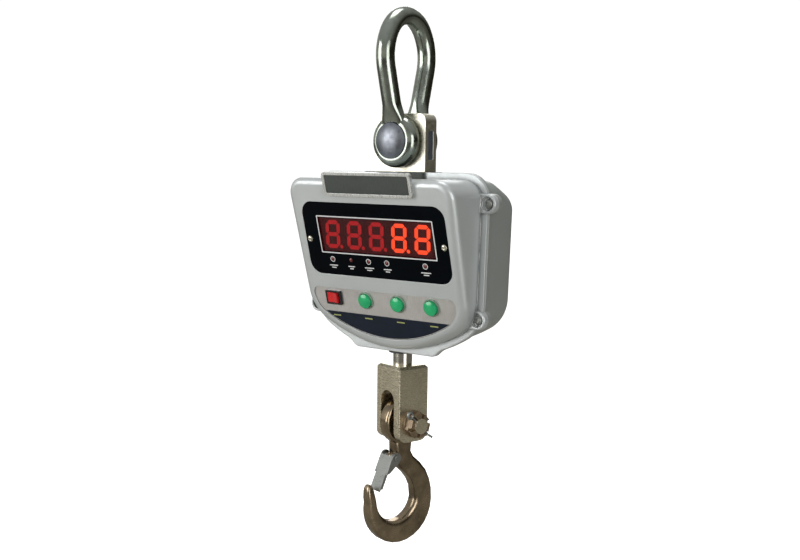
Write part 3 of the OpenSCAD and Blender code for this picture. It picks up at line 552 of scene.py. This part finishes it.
def front_cavity():
    """The hollow inside the front half."""
    outline = shell_outline(10.5, False)
    rings = [[(x, SEAM_Y + 1, z) for x, z in outline],
             [(x, min(face_y(z) + 4.7, SEAM_Y - 3.3), z) for x, z in outline]]
    return loft("front_cavity", rings, CASE)


def flange(name, y_seam, side):
    """A flat rim round the joint, with its outer edge eased. side is -1 for the front and 1 for the rear."""
    profile = [(0.3, 0.0), (0.0, 0.4), (0.0, 2.6), (0.35, 3.45), (1.3, 4.0), (10.5, 4.0), (10.5, 0.0)]
    rings = [[(x, y_seam + side * y, z) for x, z in shell_outline(inset, True)] for inset, y in profile]
    return loft(name, rings, CASE, wrap=True)


LUGS = [(113.8, -29.5), (104.0, -144.0)]
LUG_R = 9.7


def lug(side, x, z, y0, y1, recess):
    """A screw boss that runs into the wall on the load line's side."""
    out = math.copysign(1, y1 - y0)
    length = abs(y1 - y0)
    edge = 1.8
    outline = []
    for k in range(25):
        a = math.radians(-90 + 180 * k / 24)
        outline.append((math.cos(a), math.sin(a), 0))
    outline += [(math.cos(math.radians(90 + 180 * k / 24)), math.sin(math.radians(90 + 180 * k / 24)), -14)
                for k in range(25)]
    rings = []
    for cut, depth in [(0, 0)] + [(edge * (1 - math.cos(a)), length - edge + edge * math.sin(a))
                                  for a in (math.pi / 2 * k / 5 for k in range(6))]:
        r = LUG_R - cut
        rings.append([(side * (x + u * r + shift), y0 + out * depth, z + v * r) for u, v, shift in outline])
    boss = loft("lug", rings, CASE)
    if recess:
        place = CASE @ Matrix.Translation((side * x, y1, z)) @ Matrix.Rotation(math.radians(90), 4, "X")
        bowl = [(0, 1), (7.6, 1), (7.3, 0), (7.0, -0.8), (7.0, -3.99), (0, -3.99)]
        cut = lathe("recess", [(max(r, 0.01), h) for r, h in bowl], place, 48)
        hole = slab("hole", circle(2.6, steps=24), -12, 1, place)
        boss = carve(boss, [cut, hole])
    return boss


def foot_hole():
    return slab("foot_hole", circle(FOOT_HOLE_R), -CASE_H - 1, -CASE_H + 30, CASE)


def collar_notch():
    return slab("notch", [(-37.1, -20.1), (37.1, -20.1), (37.1, 0), (-37.1, 0)], -7, 5, CASE)


def front_shell():
    """The front half with its seats, holes, flange and recessed lugs."""
    body = front_body()
    panel = FACE @ Matrix.Translation((PANEL_X, 18.5, 0))
    cutters = [front_cavity(),
               slab("panel_seat", round_rect(183.2, 79.2, 14), -3, 20, panel),
               slab("panel_window", round_rect(163, 69, 9), -20, 10, panel),
               foot_hole(),
               slab("key_seat", key_area(0), -2.2, 20, FACE),
               slab("rocker_hole", [(-74.8, -53.9), (-55.8, -53.9), (-55.8, -40.9), (-74.8, -40.9)],
                    -20, 20, FACE)]
    for x in KEYS_X:
        cutters.append(slab("key_hole", circle(8.3, x, KEYS_Z), -20, 20, FACE))
    for x in PANEL_SCREWS:
        cutters.append(slab("screw_hole", circle(1.4, x, 17, 24), -12, 20, FACE))
    body = carve(body, cutters)
    rim = carve(flange("rim", SEAM_Y, -1), [collar_notch(), foot_hole()])
    lugs = [lug(s, x, z, SEAM_Y, SEAM_Y - 6.5, True) for s in (-1, 1) for x, z in LUGS]
    return join("front_casing", [body, rim] + lugs)


def rear_shell():
    """The rear half: a deep box with a sloping top, its flange and plain lugs."""
    edge = 13.0
    slope = math.tan(math.radians(26))
    rings = []
    steps = [(y, 0) for y in (SEAM_Y + 3.2, SEAM_Y + 12, 0, 8, 14, 17, 20, 28, BACK_Y - edge)]
    steps += [(BACK_Y - edge * (1 - math.sin(a)), edge * (1 - math.cos(a)))
              for a in (math.pi / 2 * k / 8 for k in range(1, 9))]
    for y, cut in steps:
        over = y - 17
        drop = slope * 0.5 * (over + math.sqrt(over * over + 9)) - slope * 0.15
        drop = max(0.0, drop - cut * 0.55)
        rings.append([(x, y, z) for x, z in shell_outline(7 + cut, True, drop)])
    body = loft("rear_body", rings, CASE)
    inner = []
    for y, cut in [(SEAM_Y - 1, 0), (17, 0), (BACK_Y - edge, 0), (BACK_Y - 3.2, edge - 2)]:
        drop = slope * max(0.0, y - 17)
        drop = max(0.0, drop - cut * 0.55)
        inner.append([(x, y, z) for x, z in shell_outline(10.2 + cut, True, drop)])
    upright = CASE @ Matrix.Rotation(math.radians(-90), 4, "X")
    x, wide, high, z = nodes_centre("battery_cover")
    cutters = [
        loft("rear_cavity", inner, CASE),
        slab("collar_seat", [(-37.1, -13), (37.1, -13), (37.1, 14.1), (-37.1, 14.1)], -7.05, 5, CASE),
        slab("collar_hole", [(-34.3, -13), (34.3, -13), (34.3, 11.3), (-34.3, 11.3)], -30, 5, CASE),
        foot_hole(),
        slab("cover_seat", round_rect(wide + 0.4, high + 0.4, 6, x, -z), BACK_Y - 2.2, BACK_Y + 1, upright),
        slab("cover_hole", round_rect(wide - 18, high - 18, 4, x, -z), BACK_Y - 10, BACK_Y + 1, upright),
        slab("socket_hole", circle(6, -70, 128, 40), 0, BACK_Y + 1, upright),
    ]
    body = carve(body, cutters)
    rim = carve(flange("rim", SEAM_Y, 1), [collar_notch(), foot_hole()])
    lugs = [lug(s, x, z, SEAM_Y, SEAM_Y + 8, False) for s in (-1, 1) for x, z in LUGS]
    return join("rear_casing", [body, rim] + lugs)


def nodes_centre(name):
    """A CAD node's middle in X, width, height, and middle height from the flange's top."""
    low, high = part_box(name)
    return ((low.x + high.x) / 2 / MM, (high.x - low.x) / MM, (high.z - low.z) / MM,
            (low.z + high.z) / 2 / MM - CASE_Z)


def key_area(inset):
    """The D-shaped area of the keys: a straight, round-cornered top and the belly's curve."""
    top = PAD_TOP - inset
    pts = [(x, (z + 88) / math.cos(TILT)) for x, z in shell_outline(17 + inset, False)]
    corners = []
    for a, b in zip(pts, pts[1:] + pts[:1]):
        if (a[1] - top) * (b[1] - top) < 0:
            t = (top - a[1]) / (b[1] - a[1])
            corners.append((a[0] + (b[0] - a[0]) * t, top))
    right, left = max(corners), min(corners)
    low = [p for p in pts if p[1] < top and min(math.dist(p, right), math.dist(p, left)) > 9]
    start, stop = (right[0] - 9, top), (left[0] + 9, top)
    return bend(start, right, low[0], 8) + low[:-1] + bend(low[-1], left, stop, 8) + line(stop, start, 12)


finish(front_shell(), MATERIALS["front_paint"], "casing", "front_paint", "front_shell")
finish(rear_shell(), MATERIALS["rear_paint"], "casing", "rear_paint", "rear_shell")


# ---- bow ----

def superellipse(n, power):
    pts = []
    for k in range(n):
        a = 2 * math.pi * k / n
        c, s = math.cos(a), math.sin(a)
        pts.append((math.copysign(abs(c) ** (2 / power), c), math.copysign(abs(s) ** (2 / power), s)))
    return pts


def smooth_max(a, b, k):
    return 0.5 * (a + b + math.sqrt((a - b) ** 2 + k * k))


def bow():
    """Round bar bent over the crown in three arcs, with its legs run into two forged ears."""
    bar, top_r, turn, side_turn = 9.75, 32.0, math.radians(35), math.radians(15)
    side_r = (35 - top_r * math.cos(turn)) / (1 - math.cos(turn))
    top_c = (0, bar - top_r)
    side_c = (35 - side_r, top_c[1] - (side_r - top_r) * math.sin(turn))
    ear_y, ear_half = 18.05, 6.6
    leg = (side_c[0] + side_r * math.cos(side_turn), side_c[1] - side_r * math.sin(side_turn))
    half = []
    arcs = ((top_c, top_r, math.pi / 2, turn, 10), (side_c, side_r, turn, -side_turn, 14))
    for centre, r, a0, a1, n in arcs:
        for k in range(n):
            a = a0 + (a1 - a0) * k / n
            half.append((centre[0] + r * math.cos(a), centre[1] + r * math.sin(a), a, bar, bar, 2.0))
    for k in range(29):
        z = leg[1] + (PIN_Z + 9 - leg[1]) * k / 28
        y_line = leg[0] - (leg[1] - z) * math.tan(side_turn)
        t = min(1.0, max(0.0, (z - PIN_Z - 14) / 26))
        t = t * t * (3 - 2 * t)
        y = smooth_max(y_line, ear_y, 2.0)
        wide = bar + 4.8 * (1 - t)
        thick = bar * t + ear_half * (1 - t)
        half.append((y, z, -side_turn * t, wide, thick, 2.0 + 1.0 * (1 - t)))
    stations = [(-y, z, math.pi - a, w, th, p) for y, z, a, w, th, p in reversed(half[1:])] + half
    rings = []
    for y, z, a, w, th, p in stations:
        ny, nz = math.cos(a), math.sin(a)
        rings.append([(u * w, y + v * th * ny, z + v * th * nz) for u, v in superellipse(40, p)])
    pin = Matrix.Translation((0, 0, PIN_Z))
    places = [pin @ Matrix.Rotation(math.radians(-90 * s), 4, "X") for s in (-1, 1)]
    parts = [carve(loft("bar", rings), [slab("spot", circle(19.5), EAR_OUT, 45, place) for place in places])]
    r, t, flat = 27.5, 13.5, 19.3
    profile = [(11.05, 0.8), (11.9, 0.0), (r - 1.6, 0.0), (r - 0.5, 0.5), (r, 1.6), (r, 4.4)]
    for k in range(1, 10):
        a = math.pi / 2 * k / 9
        profile.append((flat + (r - flat) * math.cos(a), 4.4 + (t - 4.4) * math.sin(a)))
    profile += [(11.9, t), (11.05, t - 0.8)]
    for place in places:
        parts.append(lathe("ear", [(x, 11.3 + h) for x, h in profile], place, 96))
    return join("forged_bow", parts)


finish(bow(), MATERIALS["bow_steel"], "shackle", "bow_steel", "shackle_bow", angle=50, weighted=False)


# ---- hook ----

BOWL = (-10.5, -80.5)


def hook():
    """Swept from the eye's neck down the back, under the bowl and up to the point. Stations give the inner
    and outer side in Y and Z from the hook's pin, and half of the thickness."""
    body_c, body_r, bowl_r = (-4.3, -88.5), 42.0, 25.0
    stations = [((-13.5, -14), (10.5, -14), 7.0), ((-13.6, -23), (10.0, -24), 7.4),
                ((-13.0, -32), (8.6, -33), 7.8), ((-10.0, -42), (12.5, -39.5), 8.0),
                ((-5.5, -50), (21.5, -47), 8.0), ((2.0, -56.5), (29.5, -56.5), 8.0),
                ((8.6, -64.5), (34.6, -67), 8.0), ((12.8, -73), (37.2, -78), 8.0)]
    for k in range(17):
        a = math.radians(-10 - 168 * k / 16)
        d = (math.cos(a), math.sin(a))
        inner = (BOWL[0] + bowl_r * d[0], BOWL[1] + bowl_r * d[1])
        f = (BOWL[0] - body_c[0], BOWL[1] - body_c[1])
        b = f[0] * d[0] + f[1] * d[1]
        reach = -b + math.sqrt(b * b - (f[0] ** 2 + f[1] ** 2 - body_r ** 2))
        outer = (BOWL[0] + reach * d[0], BOWL[1] + reach * d[1])
        stations.append((inner, outer, 8.0 if k < 13 else 8.0 - 0.35 * (k - 12)))
    stations += [((-36.9, -74.5), (-46.7, -76.5), 6.2), ((-38.4, -69), (-46.8, -69.5), 5.5),
                 ((-39.4, -65.6), (-46.3, -65.4), 4.6), ((-40.7, -63.3), (-45.1, -63.0), 3.2),
                 ((-42.2, -62.2), (-43.6, -62.1), 1.4)]
    rings = []
    shape = superellipse(44, 4.0)
    for inner, outer, t in stations:
        m = ((inner[0] + outer[0]) / 2, (inner[1] + outer[1]) / 2)
        h = ((outer[0] - inner[0]) / 2, (outer[1] - inner[1]) / 2)
        rings.append([(v * t, m[0] + u * h[0], m[1] + u * h[1]) for u, v in shape])
    parts = [loft("shank", rings, CLEVIS)]
    bore, lip, corner, fillet, half = 8.08, 8.8, 22.2, 2.8, 7.0
    eye = [(bore, -6.3), (lip, -half), (corner, -half)]
    quarter = [math.pi / 2 * k / 6 for k in range(7)]
    eye += [(corner + fillet * math.sin(a), -4.2 - fillet * math.cos(a)) for a in quarter[1:]]
    eye += [(corner + fillet * math.cos(a), 4.2 + fillet * math.sin(a)) for a in quarter]
    eye += [(lip, half), (bore, 6.3)]
    across = Matrix.Rotation(math.radians(90), 4, "Y")
    parts.append(lathe("eye", eye, CLEVIS @ across, 96))
    knuckle = [(2.55, -3.9), (3.8, -3.9), (4.2, -3.5), (4.2, 3.5), (3.8, 3.9), (2.55, 3.9)]
    parts.append(lathe("knuckle", knuckle, CLEVIS @ Matrix.Translation((0, -14, -37)) @ across, 48))
    return join("forged_hook", parts)


finish(hook(), MATERIALS["hook_steel"], "hook", "hook_steel", "hook", angle=50, weighted=False)


# ---- display ----

def stroke(name, outer, inner, low, high):
    """A thin printed ring between two outlines of equally many points, on the front face."""
    rings = [[(x, y, low) for x, y in outer], [(x, y, high) for x, y in outer],
             [(x, y, high) for x, y in inner], [(x, y, low) for x, y in inner]]
    return loft(name, rings, FACE, wrap=True)


WHITE_INK = printed("white_ink", (0.78, 0.80, 0.80))
OLIVE_INK = printed("olive_ink", (0.42, 0.44, 0.16))
SEGMENT_DIM = glowing("segment_dim", (0.62, 0.012, 0.016), 0.85, (0.10, 0.01, 0.01))
SEGMENT_LIT = glowing("segment_lit", (1.0, 0.065, 0.016), 1.9, (0.30, 0.03, 0.02))
SEGMENT_OFF = moulded("segment_off", (0.055, 0.006, 0.008), 0.4)

window = stroke("window_line", round_rect(149.0, 40.6, 0.8, 3.6, DIGITS_Z),
                round_rect(146.6, 38.2, 0.4, 3.6, DIGITS_Z), *PRINT_LEVELS)
finish(window, WHITE_INK, "casing", "panel_acrylic")

SEGMENTS = {"a": ((0, 1), "h"), "b": ((1, 0.5), "v"), "c": ((1, -0.5), "v"), "d": ((0, -1), "h"),
            "e": ((-1, -0.5), "v"), "f": ((-1, 0.5), "v"), "g": ((0, 0), "h")}


def segment(cx, which):
    """One pointed bar of a digit, 30.5 mm high and leaning 9 degrees."""
    half_w, half_h, bar = 7.4, 13.1, 2.15
    (ux, uy), way = SEGMENTS[which]
    mx, my = ux * half_w, uy * half_h
    long = (half_w if way == "h" else half_h / 2) - 0.45
    pts = [(-long, 0), (-long + bar, bar), (long - bar, bar), (long, 0), (long - bar, -bar),
           (-long + bar, -bar)]
    if way == "v":
        pts = [(y, x) for x, y in pts]
    pts = [(cx + mx + x + (my + y) * DIGIT_LEAN, DIGITS_Z + my + y) for x, y in pts]
    return slab("bar", pts, *SEGMENT_LEVELS, FACE)


def dot(cx):
    return slab("dot", circle(2.0, cx + 11.4 - 13 * DIGIT_LEAN, DIGITS_Z - 13.2, 24), *SEGMENT_LEVELS, FACE)


def digits():
    """Five eights: three dim, two lit, and the last one's dot unlit."""
    dim, lit, off = [], [], []
    for i in range(5):
        cx = DIGITS_X + (i - 2) * DIGIT_PITCH
        for which in SEGMENTS:
            (dim if i < 3 else lit).append(segment(cx, which))
        (dim if i < 3 else lit if i == 3 else off).append(dot(cx))
    finish(join("segments_dim", dim), SEGMENT_DIM, "casing", "digit_plastic")
    finish(join("segments_lit", lit), SEGMENT_LIT, "casing", "digit_plastic")
    finish(join("segments_off", off), SEGMENT_OFF, "casing", "digit_plastic")


digits()

LAMPS = (-57.3, -33.2, -9.5, 14.2, 62.1)
PLAIN_LAMP = -33.2
rings = [stroke("ring", circle(3.1, x, LAMPS_Z, 40), circle(2.45, x, LAMPS_Z, 40), 0.0, 0.15)
         for x in LAMPS if x != PLAIN_LAMP]
finish(join("lamp_rings", rings), WHITE_INK, "casing", "panel_acrylic")
bars = [slab("bar", round_rect(w * part, 1.1, 0.4, x, y, 3), *PRINT_LEVELS, FACE)
        for part, y in ((1, -10.6), (0.55, -13.0)) for x, w in zip(LAMPS, (11, 9, 12, 10, 12))]
finish(join("lamp_marks", bars), WHITE_INK, "casing", "panel_acrylic")
marks = [slab("bar", round_rect(10, 1.3, 0.5, x, -67.6, 3), -0.79, -0.68, FACE) for x in (ROCKER_X,) + KEYS_X]
finish(join("key_marks", marks), OLIVE_INK, "casing", "label_navy")


# ---- stage: floor, light and camera ----

def pale_floor():
    """White to the eye, and a grey that throws less light up on the object."""
    n = Nodes("pale_floor", (0.93, 0.93, 0.92), 0.7, Emission_Color=(1, 1, 1, 1), Emission_Strength=0.8)
    n.paint(n.blend(n.noise(3, 2), (0.92, 0.92, 0.915), (0.94, 0.94, 0.935)))
    grey = n.add("ShaderNodeBsdfDiffuse")
    grey.inputs["Color"].default_value = (0.30, 0.29, 0.26, 1)
    mix = n.add("ShaderNodeMixShader")
    n.wire(n.add("ShaderNodeLightPath").outputs["Is Camera Ray"], mix.inputs[0])
    n.wire(grey.outputs[0], mix.inputs[1])
    n.wire(n.shader.outputs[0], mix.inputs[2])
    n.wire(mix.outputs[0], n.tree.nodes["Material Output"].inputs["Surface"])
    reach, level = 2e4, -760
    corners = [(-reach, -reach, level), (reach, -reach, level), (reach, reach, level), (-reach, reach, level)]
    floor = link("floor", corners, [(0, 1, 2, 3)])
    floor.data.materials.append(n.done())


def softbox(name, place, aim, size, power, color=(1, 1, 1)):
    lamp = bpy.data.lights.new(name, "AREA")
    lamp.shape = "RECTANGLE"
    lamp.size, lamp.size_y = size
    lamp.energy = power
    lamp.color = color
    obj = bpy.data.objects.new(name, lamp)
    obj.location = place
    obj.rotation_euler = (Vector(aim) - Vector(place)).to_track_quat("-Z", "Y").to_euler()
    bpy.context.scene.collection.objects.link(obj)


def studio():
    """A room that is pale in front and to the left, and dark olive behind to the right."""
    world = bpy.data.worlds.new("studio")
    bpy.context.scene.world = world
    world.use_nodes = True
    t = world.node_tree

    def add(kind, **values):
        node = t.nodes.new(kind)
        for key, value in values.items():
            setattr(node, key, value)
        return node

    def ramp(stops, source):
        node = add("ShaderNodeValToRGB")
        ends = node.color_ramp.elements
        for element, (pos, color) in ((ends[0], stops[0]), (ends[1], stops[-1])):
            element.position = pos
            element.color = color + (1,)
        for pos, color in stops[1:-1]:
            ends.new(pos).color = color + (1,)
        t.links.new(source, node.inputs["Fac"])
        return node.outputs["Color"]

    split = add("ShaderNodeSeparateXYZ")
    t.links.new(add("ShaderNodeTexCoord").outputs["Generated"], split.inputs[0])
    height = add("ShaderNodeMapRange")
    height.inputs["From Min"].default_value = -1.0
    t.links.new(split.outputs["Z"], height.inputs["Value"])
    across = add("ShaderNodeMath", operation="ADD")
    t.links.new(split.outputs["X"], across.inputs[0])
    t.links.new(split.outputs["Y"], across.inputs[1])
    side = add("ShaderNodeMapRange", interpolation_type="SMOOTHSTEP")
    side.inputs["From Min"].default_value = -0.3
    side.inputs["From Max"].default_value = 0.6
    t.links.new(across.outputs[0], side.inputs["Value"])
    pale = ramp([(0.0, (0.5, 0.5, 0.48)), (0.42, (0.46, 0.45, 0.40)), (0.55, (0.66, 0.65, 0.60)),
                 (0.72, (0.42, 0.42, 0.41)), (1.0, (0.6, 0.6, 0.6))], height.outputs["Result"])
    dark = ramp([(0.0, (0.3, 0.3, 0.28)), (0.45, (0.035, 0.032, 0.02)), (0.58, (0.035, 0.033, 0.022)),
                 (0.72, (0.30, 0.30, 0.28)), (1.0, (0.6, 0.6, 0.6))], height.outputs["Result"])
    room = add("ShaderNodeMix", data_type="RGBA")
    t.links.new(side.outputs["Result"], room.inputs["Factor"])
    t.links.new(pale, room.inputs[6])
    t.links.new(dark, room.inputs[7])
    back = t.nodes["Background"]
    t.links.new(room.outputs[2], back.inputs["Color"])
    back.inputs["Strength"].default_value = 0.9
    plain = add("ShaderNodeBackground")
    plain.inputs["Color"].default_value = (1, 1, 1, 1)
    plain.inputs["Strength"].default_value = 1.05
    mix = add("ShaderNodeMixShader")
    t.links.new(add("ShaderNodeLightPath").outputs["Is Camera Ray"], mix.inputs[0])
    t.links.new(back.outputs[0], mix.inputs[1])
    t.links.new(plain.outputs[0], mix.inputs[2])
    t.links.new(mix.outputs[0], t.nodes["World Output"].inputs["Surface"])


def camera():
    """Level with the casing's top and a little to the right, as the object is seen."""
    az, pitch, roll = math.radians(38.1034), math.radians(4.8878), math.radians(0.6536)
    right = Vector((math.cos(az), math.sin(az), 0))
    ahead = Vector((-math.sin(az), math.cos(az), 0))
    up = Vector((0, 0, 1))
    look = ahead * math.cos(pitch) - up * math.sin(pitch)
    rise = up * math.cos(pitch) + ahead * math.sin(pitch)
    x_axis = right * math.cos(roll) + rise * math.sin(roll)
    y_axis = rise * math.cos(roll) - right * math.sin(roll)
    data = bpy.data.cameras.new("camera")
    data.sensor_width = 36.0
    data.lens = 49.52
    data.shift_x = 0.015
    data.shift_y = -0.03
    obj = bpy.data.objects.new("camera", data)
    basis = Matrix((x_axis, y_axis, -look)).transposed().to_4x4()
    obj.matrix_world = Matrix.Translation((0.6945, -0.9127, -0.1396)) @ basis
    bpy.context.scene.collection.objects.link(obj)
    bpy.context.scene.camera = obj


camera()
pale_floor()
studio()
softbox("key", (-1.1, -1.65, 0.1), (0, 0, -0.24), (1.3, 1.4), 22)
softbox("fill", (1.6, -0.7, -0.2), (0, 0, -0.26), (0.9, 1.5), 13)
softbox("top", (-0.1, 0.2, 1.3), (0, 0, -0.2), (0.8, 0.8), 9)
softbox("back", (-0.9, 1.4, 0.2), (0, 0, -0.25), (0.9, 1.2), 7)
bpy.context.scene.view_settings.view_transform = "Standard"
